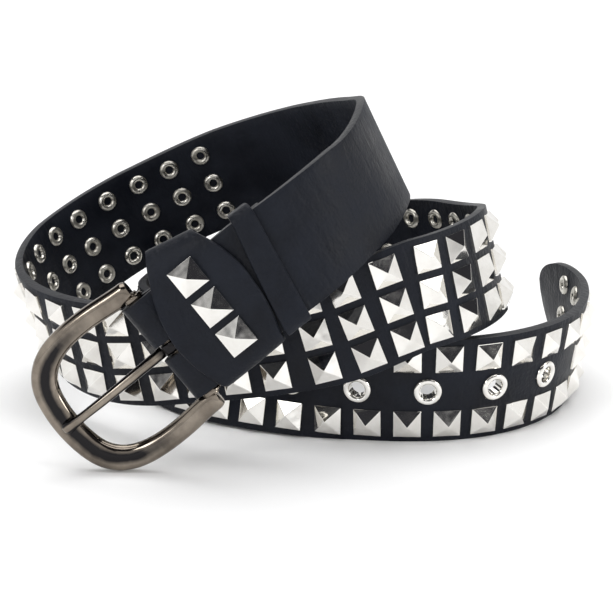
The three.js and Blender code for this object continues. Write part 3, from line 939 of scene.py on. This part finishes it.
@dataclass
class Studs:
    """The square studs on the outside and the rivet backs that hold them on the inside."""

    path: StrapPath
    skirt: float = 0.0007
    sink: float = 0.0006
    tip_share: float = 0.015
    edge_round: float = 0.0001
    back_radius: float = 0.0038
    back_height: float = 0.0011
    back_hole: float = 0.0016
    keeper_stud_size: float = 0.010
    keeper_stud_pitch: float = 0.0124
    keeper_stud_run: float = 0.0213
    keeper_stud_lift: float = 0.0021
    keeper_stud_seat: float = 0.0057

    def model(self, name: str, size: float) -> bpy.types.Object:
        """One stud: four sloping faces on a low skirt, with slightly rounded edges.

        Args:
            name: the model's name.
            size: its side.

        Returns:
            The stud, standing on the origin.
        """
        half = size / 2
        slope = self.path.sizes.stud_height - self.skirt
        pick_nothing()
        bpy.ops.mesh.primitive_cone_add(
            vertices=4, radius1=half * math.sqrt(2), radius2=half * self.tip_share * math.sqrt(2),
            depth=slope, location=(0, 0, self.skirt + slope / 2), rotation=(0, 0, math.pi / 4),
        )
        stud = named(name)
        bpy.ops.object.transform_apply(location=True, rotation=True, scale=True)
        bpy.ops.object.mode_set(mode="EDIT")
        bpy.ops.mesh.select_all(action="DESELECT")
        bpy.ops.object.mode_set(mode="OBJECT")
        for face in stud.data.polygons:
            face.select = face.normal.z < -0.9
        bpy.ops.object.mode_set(mode="EDIT")
        bpy.ops.mesh.extrude_region_move(
            TRANSFORM_OT_translate={"value": (0, 0, -self.skirt - self.sink)}
        )
        bpy.ops.object.mode_set(mode="OBJECT")
        finish_with(
            stud, "BEVEL", width=self.edge_round, segments=1, limit_method="ANGLE",
            angle_limit=math.radians(20),
        )
        return stud

    def build(self, finishes: Finishes) -> None:
        """Sets the studs, the rivet backs and the keeper's three larger studs."""
        sizes, path = self.path.sizes, self.path
        places = sizes.stud_places()
        face = sizes.thickness / 2
        field_of_studs = copies(
            "studs", self.model("stud", sizes.stud_size),
            [path.seat(run, across, face) for run, across in places],
        )
        dress(field_of_studs, finishes.nickel, "strap")
        flip = Matrix.Rotation(math.pi, 4, "X")
        backs = copies(
            "rivet_backs", self._rivet_back(),
            [path.seat(run, across, -face) @ flip for run, across in places],
        )
        pick(backs)
        bpy.ops.object.shade_smooth_by_angle(angle=math.radians(50))
        dress(backs, finishes.aged_nickel, "strap")
        for row, place in ((1, "top"), (0, "middle"), (-1, "bottom")):
            node = f"keeper_stud_{place}"
            stud = self.model(node + "_cap", self.keeper_stud_size)
            across = sizes.width / 2 + self.keeper_stud_lift + row * self.keeper_stud_pitch
            stud.data.transform(path.seat(self.keeper_stud_run, across, self.keeper_stud_seat))
            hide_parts(node)
            dress(stud, finishes.nickel, "strap")

    def _rivet_back(self) -> bpy.types.Object:
        """One domed washer with a dark hole in its middle."""
        r, h, hole = self.back_radius, self.back_height, self.back_hole
        profile = [
            (r, -0.0002), (r * 0.93, h * 0.55), (r * 0.72, h), (r * 0.55, h * 0.9), (hole, h * 0.5),
            (hole * 0.85, -0.0002),
        ]
        return turned("rivet_back", profile, 16)


@dataclass
class Eyelets:
    """The rolled eyelets near the tip."""

    path: StrapPath
    face_height: float = 0.0011
    steps: int = 40
    roll_points: int = 9

    def build(self, finishes: Finishes) -> None:
        """Turns one eyelet for each hole and sets it through the strap."""
        sizes = self.path.sizes
        for index in range(sizes.eyelet_count):
            eyelet = turned(f"eyelet_ring_{index + 1}", self._profile(), self.steps)
            matrix = self.path.seat(sizes.eyelet_run(index), sizes.width / 2, 0.0)
            eyelet.data.transform(matrix)
            tidy_surface(eyelet, 50)
            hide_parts(f"eyelet_{index + 1}")
            dress(eyelet, finishes.nickel, "strap")

    def _profile(self) -> list[tuple[float, float]]:
        """The section of the metal: a rolled collar outside, a flatter one inside."""
        sizes = self.path.sizes
        face = sizes.thickness / 2 + 0.0001
        inner, outer = sizes.eyelet_hole_radius, sizes.eyelet_flange_radius
        middle, half = (inner + outer) / 2, (outer - inner) / 2
        rolled = []
        for i in range(self.roll_points):
            angle = math.pi * i / (self.roll_points - 1)
            rolled.append((middle + half * math.cos(angle), face + self.face_height * math.sin(angle)))
        wall = inner + 0.0006
        back = [
            (inner, -face - 0.0006), (inner + 0.0005, -face - 0.0009), (outer - 0.0014, -face - 0.0007),
            (outer - 0.0008, -face - 0.0001), (wall, -face), (wall, face),
        ]
        return rolled + back


@dataclass
class Keeper:
    """A leather loop round both layers of the strap."""

    path: StrapPath
    node: str
    run: float
    half_length: float
    wall: float
    crown: float = 0.0
    slant: float = 0.0
    taper: float = 0.0
    slack: float = 0.0
    slack_fall: float = 0.0
    side_gap: float = 0.0005
    seat_gap: float = 0.0003
    nose_share: float = 0.35
    corner: float = 0.0016
    rings: int = 180
    sides: int = 36

    def build(self, finishes: Finishes) -> None:
        """Draws the loop, lays it round the strap and dresses it."""
        loop = drawn_loop(self.node + "_leather", self.rings, self.sides, self._point)
        tidy_surface(loop, 35)
        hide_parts(self.node)
        dress(loop, finishes.keeper_leather, "strap")

    def edges(self, across: float, side: Side) -> tuple[float, float]:
        """The loop's two edges along the strap, counted from its middle.

        Args:
            across: height from the strap's middle.
            side: the face of the strap that it is over; not used here.

        Returns:
            Where the leather starts and ends.
        """
        shift = self.slant * across
        reach = self.half_length - self.taper * across
        return shift - reach, shift + reach

    def slack_at(self, run: float) -> float:
        """How far the loop's top stands clear of the strap's upper edge."""
        return self.slack - self.slack_fall * (run - self.run)

    def half(self) -> float:
        """Half the loop's inside, without its slack."""
        return self.path.sizes.width / 2 + self.side_gap

    def _point(self, round_loop: float, round_section: float) -> Vector:
        """Place of a point of the loop.

        Args:
            round_loop: share of the way round the strap, from the middle of the front.
            round_section: share of the way round the leather's own section.

        Returns:
            The place in the coil.
        """
        along_share, lift = self._section(round_section)
        middle = self._inside(round_loop, self.run)
        start, end = self.edges(middle.x, Side.OUTSIDE if middle.y > 0 else Side.INSIDE)
        run = self.run + (start + end) / 2 + along_share * (end - start) / 2
        here = self._inside(round_loop, run)
        ahead, behind = self._inside(round_loop + 0.002, run), self._inside(round_loop - 0.002, run)
        normal = Vector((behind.y - ahead.y, ahead.x - behind.x)).normalized()
        swell = math.cos(min(abs(here.x) / self.half(), 1.0) * math.pi / 2)
        bulge = self.crown * swell if normal.y > 0.5 else 0.0
        here += normal * (lift * self.wall + min(lift * 2, 1.0) * bulge)
        return self.path.place(
            run, self.path.sizes.width / 2 + here.x, here.y - self.path.layer_spread
        )

    def _inside(self, share: float, run: float) -> Vector:
        """A point of the loop's inside: distance across and distance out.

        Args:
            share: share of the way round, from the middle of the front.
            run: where along the strap.

        Returns:
            The point, with the slack drawn up above the strap.
        """
        stack = self.path.spread_at(run) + self.path.half_thickness + self.seat_gap
        across, side = self._outline(share % 1.0, self.half(), stack)
        if across > 0:
            flat = self.nose_share * across / self.half()
            nose = 1 - (1 - self.nose_share) * (side / stack) ** 2
            across += self.slack_at(run) * (nose if across > self.half() - self.corner else flat)
        return Vector((across, side))

    def _outline(self, share: float, half: float, stack: float) -> tuple[float, float]:
        """A point of the rounded rectangle that the loop's inside follows.

        Args:
            share: share of the way round, from the middle of the front.
            half: half the rectangle's width.
            stack: half its thickness.

        Returns:
            Distance across and distance out.
        """
        r = self.corner
        wide, tall, arc = half - r, stack - r, math.pi / 2 * r * 2.5
        lengths = [wide, arc, 2 * tall, arc, 2 * wide, arc, 2 * tall, arc, wide]
        left = share * sum(lengths)
        part = 0
        while part < 8 and left > lengths[part]:
            left -= lengths[part]
            part += 1
        t = min(left / lengths[part], 1.0)
        c, s = r * math.cos(math.pi / 2 * t), r * math.sin(math.pi / 2 * t)
        places = [
            (wide * t, stack), (wide + s, tall + c), (half, tall - 2 * tall * t), (wide + c, -tall - s),
            (wide - 2 * wide * t, -stack), (-wide - s, -tall - c), (-half, 2 * tall * t - tall),
            (-wide - c, tall + s), (wide * t - wide, stack),
        ]
        return places[part]

    def _section(self, share: float) -> tuple[float, float]:
        """A point of the leather's section: share along its length and share of its wall."""
        angle = 2 * math.pi * share
        c, s = math.cos(angle), math.sin(angle)
        reach = max(abs(c), abs(s))
        square = Vector((c / reach, s / reach))
        rim = 1 - 0.045 * max(0.0, abs(square.x) + abs(square.y) - 1.4) / 0.6
        return square.x * rim, 0.5 + 0.5 * square.y


@dataclass
class WideKeeper(Keeper):
    """The barrel-shaped keeper: widest below its middle, and slack at its top."""

    end_half_length: float = 0.0082
    middle: float = -0.0016
    spread: float = 0.0274

    def edges(self, across: float, side: Side) -> tuple[float, float]:
        """The loop's two edges along the strap, curved on its front and straight behind.

        Args:
            across: height from the strap's middle.
            side: the face of the strap that it is over.

        Returns:
            Where the leather starts and ends.
        """
        bottom, top = -self.half(), self.half() + self.slack
        share = (across - bottom) / (top - bottom)
        straight = self._reach(bottom) * (1 - share) + self._reach(top) * share
        reach = self._reach(across) if side is Side.OUTSIDE else straight
        shift = self.slant * max(across, 0.0)
        return shift - reach, shift + reach

    def _reach(self, across: float) -> float:
        """Half the length at a height from the strap's middle."""
        share = min(abs(across - self.middle) / self.spread, 1.0)
        swell = math.cos(share * math.pi / 2) ** 0.8
        return self.end_half_length + (self.half_length - self.end_half_length) * swell


@dataclass
class BuckleSizes:
    """Sizes of the buckle, in metres."""

    bar_radius: float = 0.0022
    frame_width: float = 0.056
    frame_length: float = 0.050
    band: float = 0.0074
    end_band: float = 0.009
    thickness: float = 0.006
    tilt: float = 4.5
    collar_radius: float = 0.0035
    collar_length: float = 0.0016
    running_gap: float = 0.00035
    section_power: float = 0.82
    end_hold: float = 0.012
    end_round: float = 0.03
    prong_width: float = 0.004
    prong_thickness: float = 0.0034
    prong_ring_wall: float = 0.0017
    prong_overhang: float = 0.0015
    prong_rise_share: float = 0.8
    prong_droop: float = 0.0011
    prong_droop_from: float = 0.9
    prong_taper: float = 0.22
    prong_taper_until: float = 0.75
    prong_flare: float = 0.24
    prong_flare_from: float = 0.80
    prong_flare_share: float = 0.14
    prong_thinning: float = 0.30
    prong_tail_share: float = 0.05
    prong_head_share: float = 0.02
    # The dark, flank and ring sizes below place the painted shade on the frame and the prong.
    dark_starts: tuple[float, float] = (0.04, 0.38)
    dark_ends: tuple[float, float] = (0.68, 0.90)
    dark_inward: float = 0.16
    dark_fade: tuple[float, float] = (0.15, 0.80)
    flank_fade: tuple[float, float] = (0.35, 0.7)
    ring_fade: tuple[float, float] = (0.004, 0.008)
    ring_darkness: float = 0.8


@dataclass(frozen=True)
class FramePoint:
    """A point of the frame's middle line.

    side is a share of half the frame's width, reach is a share of its length, and swell says how
    far the band has grown from its width at the bar to its width at the far end.
    """

    side: float
    reach: float
    swell: float


HALF_LINE = [
    FramePoint(side=0.95, reach=-0.02, swell=0.0),
    FramePoint(side=0.96, reach=0.10, swell=0.0),
    FramePoint(side=0.99, reach=0.28, swell=0.0),
    FramePoint(side=1.00, reach=0.46, swell=0.05),
    FramePoint(side=0.97, reach=0.64, swell=0.30),
    FramePoint(side=0.86, reach=0.81, swell=0.75),
    FramePoint(side=0.64, reach=0.93, swell=1.0),
    FramePoint(side=0.33, reach=0.985, swell=1.0),
    FramePoint(side=0.0, reach=1.0, swell=1.0),
]


class Buckle:
    """The frame with its bar and collars, and the prong."""

    def __init__(self, path: StrapPath, bar_middle: Vector) -> None:
        """Finds the buckle's own directions.

        Args:
            path: the strap's path.
            bar_middle: the middle of the bar.
        """
        self.sizes = BuckleSizes()
        self.path = path
        self.bar_middle = bar_middle
        _, along, up, out = path.frame(0)
        tilt = math.radians(self.sizes.tilt)
        self.across = up
        self.reach = -along * math.cos(tilt) + out * math.sin(tilt)
        self.face = out * math.cos(tilt) + along * math.sin(tilt)
        self.leg_half = self.sizes.frame_width / 2 - self.sizes.band / 2
        self.end_reach = self.sizes.frame_length - self.sizes.end_band / 2

    def at(self, across: float, reach: float, face: float) -> Vector:
        """Gives a point by the buckle's own directions.

        Args:
            across: the distance along the bar.
            reach: the distance out from the bar.
            face: the distance up from the frame's middle plane.

        Returns:
            The point.
        """
        return self.bar_middle + self.across * across + self.reach * reach + self.face * face

    def build(self, finishes: Finishes) -> None:
        """Builds the frame and the prong."""
        self._frame(finishes)
        self._prong(finishes)

    def _line(self) -> tuple[Curve, Curve, Curve]:
        """Makes the frame's middle line.

        Returns:
            Its side, its reach and the band's swell, by share of its length.
        """
        mirrored = [FramePoint(-p.side, p.reach, p.swell) for p in reversed(HALF_LINE[:-1])]
        rows = HALF_LINE + mirrored
        points = [Vector((p.side * self.leg_half, p.reach * self.end_reach)) for p in rows]
        at = [0.0]
        for before, after in zip(points, points[1:]):
            at.append(at[-1] + (after - before).length)
        at = [a / at[-1] for a in at]
        return (
            natural_spline(at, [p.x for p in points]),
            natural_spline(at, [p.y for p in points]),
            natural_spline(at, [p.swell for p in rows]),
        )

    def _frame(self, finishes: Finishes) -> None:
        """Draws the frame's band and joins the bar and the collars to it."""
        s = self.sizes
        side_at, reach_at, band_at = self._line()

        def rule(share: float, angle: float) -> Vector:
            """Place of a point of the band, from its share of the length and its angle."""
            held = min(max((share - s.end_hold) / (1 - 2 * s.end_hold), 0.0), 1.0)
            side, side_slope = side_at(held)
            reach, reach_slope = reach_at(held)
            normal = Vector((reach_slope, -side_slope)).normalized()
            end = min(share, 1 - share)
            close = rounded_off(end / s.end_round)
            wide = s.band + (s.end_band - s.band) * min(max(band_at(held)[0], 0.0), 1.0)
            c, t = math.cos(angle), math.sin(angle)
            flat = math.copysign(abs(c) ** s.section_power, c) * wide / 2 * close
            lift = math.copysign(abs(t) ** s.section_power, t) * s.thickness / 2 * close
            return self.at(side + normal.x * flat, reach + normal.y * flat, lift)

        frame = drawn_tube("frame_band", 150, 32, rule)
        rods = [
            self._rod("bar", s.bar_radius, -self.leg_half * 0.9, self.leg_half * 0.9),
        ]
        start = self.path.sizes.width / 2 + s.running_gap
        for sign in (-1, 1):
            ends = sorted((sign * start, sign * (start + s.collar_length)))
            rods.append(self._rod("collar", s.collar_radius, *ends))
        tidy_surface(frame, 60)
        for rod in rods:
            tidy_surface(rod, 40)
            finish_with(frame, "BOOLEAN", object=rod, operation="UNION", solver="EXACT")
            bpy.data.objects.remove(rod)
        frame.name = "buckle_frame_cast"
        pick(frame)
        bpy.ops.object.shade_smooth_by_angle(angle=math.radians(50))
        self._mark_frame(frame)
        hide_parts("buckle_frame")
        dress(frame, finishes.gunmetal, "buckle")

    def _mark_frame(self, frame: bpy.types.Object) -> None:
        """Marks the middle of the band round the far corners, where painted shade is a dark reflection.
        """
        s = self.sizes
        side_at, reach_at, _ = self._line()
        steps = 240
        tree = KDTree(steps + 1)
        for i in range(steps + 1):
            tree.insert((side_at(i / steps)[0], reach_at(i / steps)[0], 0), i)
        tree.balance()

        def shade(across: float, reach: float, face: float) -> float:
            """How much painted shade darkens the plating at a place of the band."""
            _, i, _ = tree.find((across, reach, 0))
            share = i / steps
            (side, side_slope), (far, reach_slope) = side_at(share), reach_at(share)
            normal = Vector((reach_slope, -side_slope)).normalized()
            offset = normal.dot(Vector((across - side, reach - far))) / (s.band / 2)
            corner = eased(share, *s.dark_starts) * (1 - eased(share, *s.dark_ends))
            return corner * (1 - eased(abs(offset + s.dark_inward), *s.dark_fade))

        self._mark(frame, shade)

    def _mark_prong(self, prong: bpy.types.Object) -> None:
        """Marks the prong's flanks and its ring by the bar, where painted shade darkens its plating."""
        s = self.sizes

        def shade(across: float, reach: float, face: float) -> float:
            """How much painted shade darkens the plating at a place of the prong."""
            flank = eased(abs(across) / (s.prong_width / 2), *s.flank_fade)
            return max(flank, s.ring_darkness * (1 - eased(reach, *s.ring_fade)))

        self._mark(prong, shade)

    def _mark(self, obj: bpy.types.Object, shade: Callable[[float, float, float], float]) -> None:
        """Writes how much painted shade darkens the plating at each point of a mesh.

        Args:
            obj: the piece.
            shade: gives the painted shade at a place along the bar, out from it and up from the frame.
        """
        mark = obj.data.attributes.new(SHADED_MARK, "FLOAT", "POINT")
        for vertex in obj.data.vertices:
            away = vertex.co - self.bar_middle
            place = (away.dot(self.across), away.dot(self.reach), away.dot(self.face))
            mark.data[vertex.index].value = shade(*place)

    def _rod(self, name: str, radius: float, start: float, end: float) -> bpy.types.Object:
        """A round rod along the bar's line, with eased ends.

        Args:
            name: the rod's name.
            radius: its radius.
            start: where it starts, from the bar's middle.
            end: where it ends.

        Returns:
            The rod.
        """
        pick_nothing()
        bpy.ops.mesh.primitive_cylinder_add(vertices=32, radius=radius, depth=end - start)
        rod = named(name)
        finish_with(
            rod, "BEVEL", width=min(radius, end - start) * 0.18, segments=2, limit_method="ANGLE",
            angle_limit=math.radians(60),
        )
        turn = Matrix((self.reach, self.face, self.across)).transposed().to_4x4()
        place = Matrix.Translation(self.at(0, 0, 0) + self.across * (start + end) / 2)
        rod.data.transform(place @ turn)
        return rod

    def _prong(self, finishes: Finishes) -> None:
        """Draws the shank, and joins the ring that turns on the bar to it."""
        s = self.sizes
        inner = s.bar_radius + 0.0003
        outer = inner + s.prong_ring_wall
        rest = s.thickness / 2 + 0.0003 + s.prong_thickness * 0.42
        start, end = inner + 0.0006, self.end_reach + s.prong_overhang

        def rule(share: float, angle: float) -> Vector:
            """Place of a point of the shank, from its share of the length and its angle."""
            reach = start + (end - start) * share
            rise = rest * (1 - (1 - min(share / s.prong_rise_share, 1.0)) ** 2)
            past = max(0.0, (share - s.prong_droop_from) / (1 - s.prong_droop_from))
            droop = s.prong_droop * past**2
            taper = 1 - s.prong_taper * min(share / s.prong_taper_until, 1.0)
            flared = min(max((share - s.prong_flare_from) / s.prong_flare_share, 0.0), 1.0)
            wide = s.prong_width * (taper + s.prong_flare * flared)
            deep = s.prong_thickness * (1 - s.prong_thinning * share)
            close = rounded_off((1 - share) / s.prong_tail_share)
            close *= rounded_off(share / s.prong_head_share)
            c, t = math.cos(angle), math.sin(angle)
            flat = math.copysign(abs(c) ** 0.75, c) * wide / 2 * close
            lift = math.copysign(abs(t) ** (1.1 if t > 0 else 0.6), t) * deep / 2 * close
            return self.at(flat, reach, rise - droop + lift)

        shank = drawn_tube("shank", 90, 24, rule)
        width = s.prong_width / 2
        ring_profile = [
            (inner, -width + 0.0003), (inner + 0.0003, -width), (outer - 0.0005, -width),
            (outer, -width + 0.0006), (outer, width - 0.0006), (outer - 0.0005, width),
            (inner + 0.0003, width), (inner, width - 0.0003),
        ]
        ring = turned("ring", ring_profile, 48)
        turn = Matrix((self.reach, self.face, self.across)).transposed().to_4x4()
        ring.data.transform(Matrix.Translation(self.bar_middle) @ turn)
        tidy_surface(shank, 60)
        tidy_surface(ring, 40)
        finish_with(shank, "BOOLEAN", object=ring, operation="UNION", solver="EXACT")
        bpy.data.objects.remove(ring)
        shank.name = "prong_polished"
        pick(shank)
        bpy.ops.object.shade_smooth_by_angle(angle=math.radians(50))
        self._mark_prong(shank)
        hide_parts("prong")
        dress(shank, finishes.gunmetal, "prong")


@dataclass
class Studio:
    """The floor, the light and the camera at the photograph's place."""

    path: StrapPath
    camera_elevation: float = 15.88
    camera_distance: float = 0.894
    aim_height: float = 0.0349
    focal_pixels: float = 2467.0
    picture_width: float = 613.0
    sensor_width: float = 36.0

    def build(self) -> None:
        """Sets the floor, the light and the camera."""
        self._camera()
        self._floor()
        self._sky()
        bpy.context.scene.view_settings.view_transform = "Standard"
        self._lamp("overhead", (0.0, 0.5, 2.6), (0, 0.4, 0), 3.6, 105)
        self._lamp("front_left", (-1.1, -1.3, 0.9), (0, 0, 0.04), 0.5, 6)
        self._lamp("right", (1.4, -0.6, 0.6), (0, 0, 0.04), 0.5, 5)

    def _camera(self) -> None:
        """Stands the camera where the photograph was taken from."""
        aim = Vector((0, 0, self.aim_height)) + self.path.shift
        rise = math.radians(self.camera_elevation)
        away = Vector((0, -math.cos(rise), math.sin(rise))) * self.camera_distance
        data = bpy.data.cameras.new("camera")
        data.sensor_width = self.sensor_width
        data.lens = self.focal_pixels / self.picture_width * self.sensor_width
        data.clip_start = 0.01
        camera = bpy.data.objects.new("camera", data)
        camera.location = aim + away
        camera.rotation_euler = (-away).to_track_quat("-Z", "Y").to_euler()
        bpy.context.scene.collection.objects.link(camera)
        bpy.context.scene.camera = camera

    @staticmethod
    def _floor() -> None:
        """Lays a plain pale floor."""
        pick_nothing()
        bpy.ops.mesh.primitive_plane_add(size=12, location=(0, 0, 0))
        floor = named("floor")
        material, nodes, shader = new_material("pale_floor")
        shader.inputs["Base Color"].default_value = (0.93, 0.93, 0.93, 1)
        shader.inputs["Roughness"].default_value = 0.7
        floor.data.materials.append(material)

    @staticmethod
    def _sky() -> None:
        """Surrounds the scene with a pale room that darkens overhead."""
        world = bpy.data.worlds.new("room")
        world.use_nodes = True
        bpy.context.scene.world = world
        nodes = Nodes(world.node_tree)
        background = world.node_tree.nodes["Background"]
        place = nodes.add("ShaderNodeTexCoord")
        parts = nodes.add("ShaderNodeSeparateXYZ")
        ramp = nodes.add("ShaderNodeValToRGB")
        ramp.color_ramp.elements[0].position = 0.47
        ramp.color_ramp.elements[0].color = (1, 1, 1, 1)
        ramp.color_ramp.elements[1].position = 0.53
        ramp.color_ramp.elements[1].color = (0.03, 0.03, 0.035, 1)
        patches = nodes.add("ShaderNodeTexNoise", scale=4.5, detail=2.0)
        uneven = nodes.add("ShaderNodeMath", operation="MULTIPLY_ADD")
        uneven.inputs[1].default_value = 0.7
        nodes.link(place.outputs["Generated"], parts.inputs["Vector"])
        nodes.link(place.outputs["Generated"], patches.inputs["Vector"])
        lift = nodes.add("ShaderNodeMath", operation="SUBTRACT")
        lift.inputs[1].default_value = 0.35
        nodes.link(patches.outputs["Fac"], uneven.inputs[0])
        nodes.link(parts.outputs["Z"], lift.inputs[0])
        nodes.link(lift.outputs[0], uneven.inputs[2])
        nodes.link(uneven.outputs[0], ramp.inputs["Fac"])
        nodes.link(ramp.outputs["Color"], background.inputs["Color"])
        background.inputs["Strength"].default_value = 1.0

    @staticmethod
    def _lamp(name: str, place: tuple, aim: tuple, size: float, power: float) -> None:
        """Hangs a soft square lamp.

        Args:
            name: the lamp's name.
            place: where it hangs.
            aim: what it points at.
            size: its side.
            power: its power in watts.
        """
        data = bpy.data.lights.new(name, "AREA")
        data.shape = "SQUARE"
        data.size = size
        data.energy = power
        lamp = bpy.data.objects.new(name, data)
        lamp.location = place
        lamp.rotation_euler = (Vector(aim) - Vector(place)).to_track_quat("-Z", "Y").to_euler()
        bpy.context.scene.collection.objects.link(lamp)


def main() -> None:
    """Builds the belt's pieces in order."""
    logging.basicConfig(level=logging.INFO, format="%(message)s")
    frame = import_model()
    hinge = next(j for j in frame["joints"] if j["name"] == "buckle_hinge")
    bar_middle = Vector(hinge["pos_m"])
    path = StrapPath(StrapSizes(), bar_middle)
    Studio(path).build()
    finishes = Finishes()
    Strap(path).build(finishes)
    Studs(path).build(finishes)
    Eyelets(path).build(finishes)
    WideKeeper(
        path, "wide_keeper", run=0.0196, half_length=0.0165, wall=0.0024, crown=0.0009,
        slant=0.09, slack=0.0066, slack_fall=0.25,
    ).build(finishes)
    Keeper(
        path, "plain_keeper", run=0.042, half_length=0.0045, wall=0.0022, slant=0.13,
        taper=0.0275,
    ).build(finishes)
    Buckle(path, bar_middle).build(finishes)


if __name__ == "__main__":
    main()
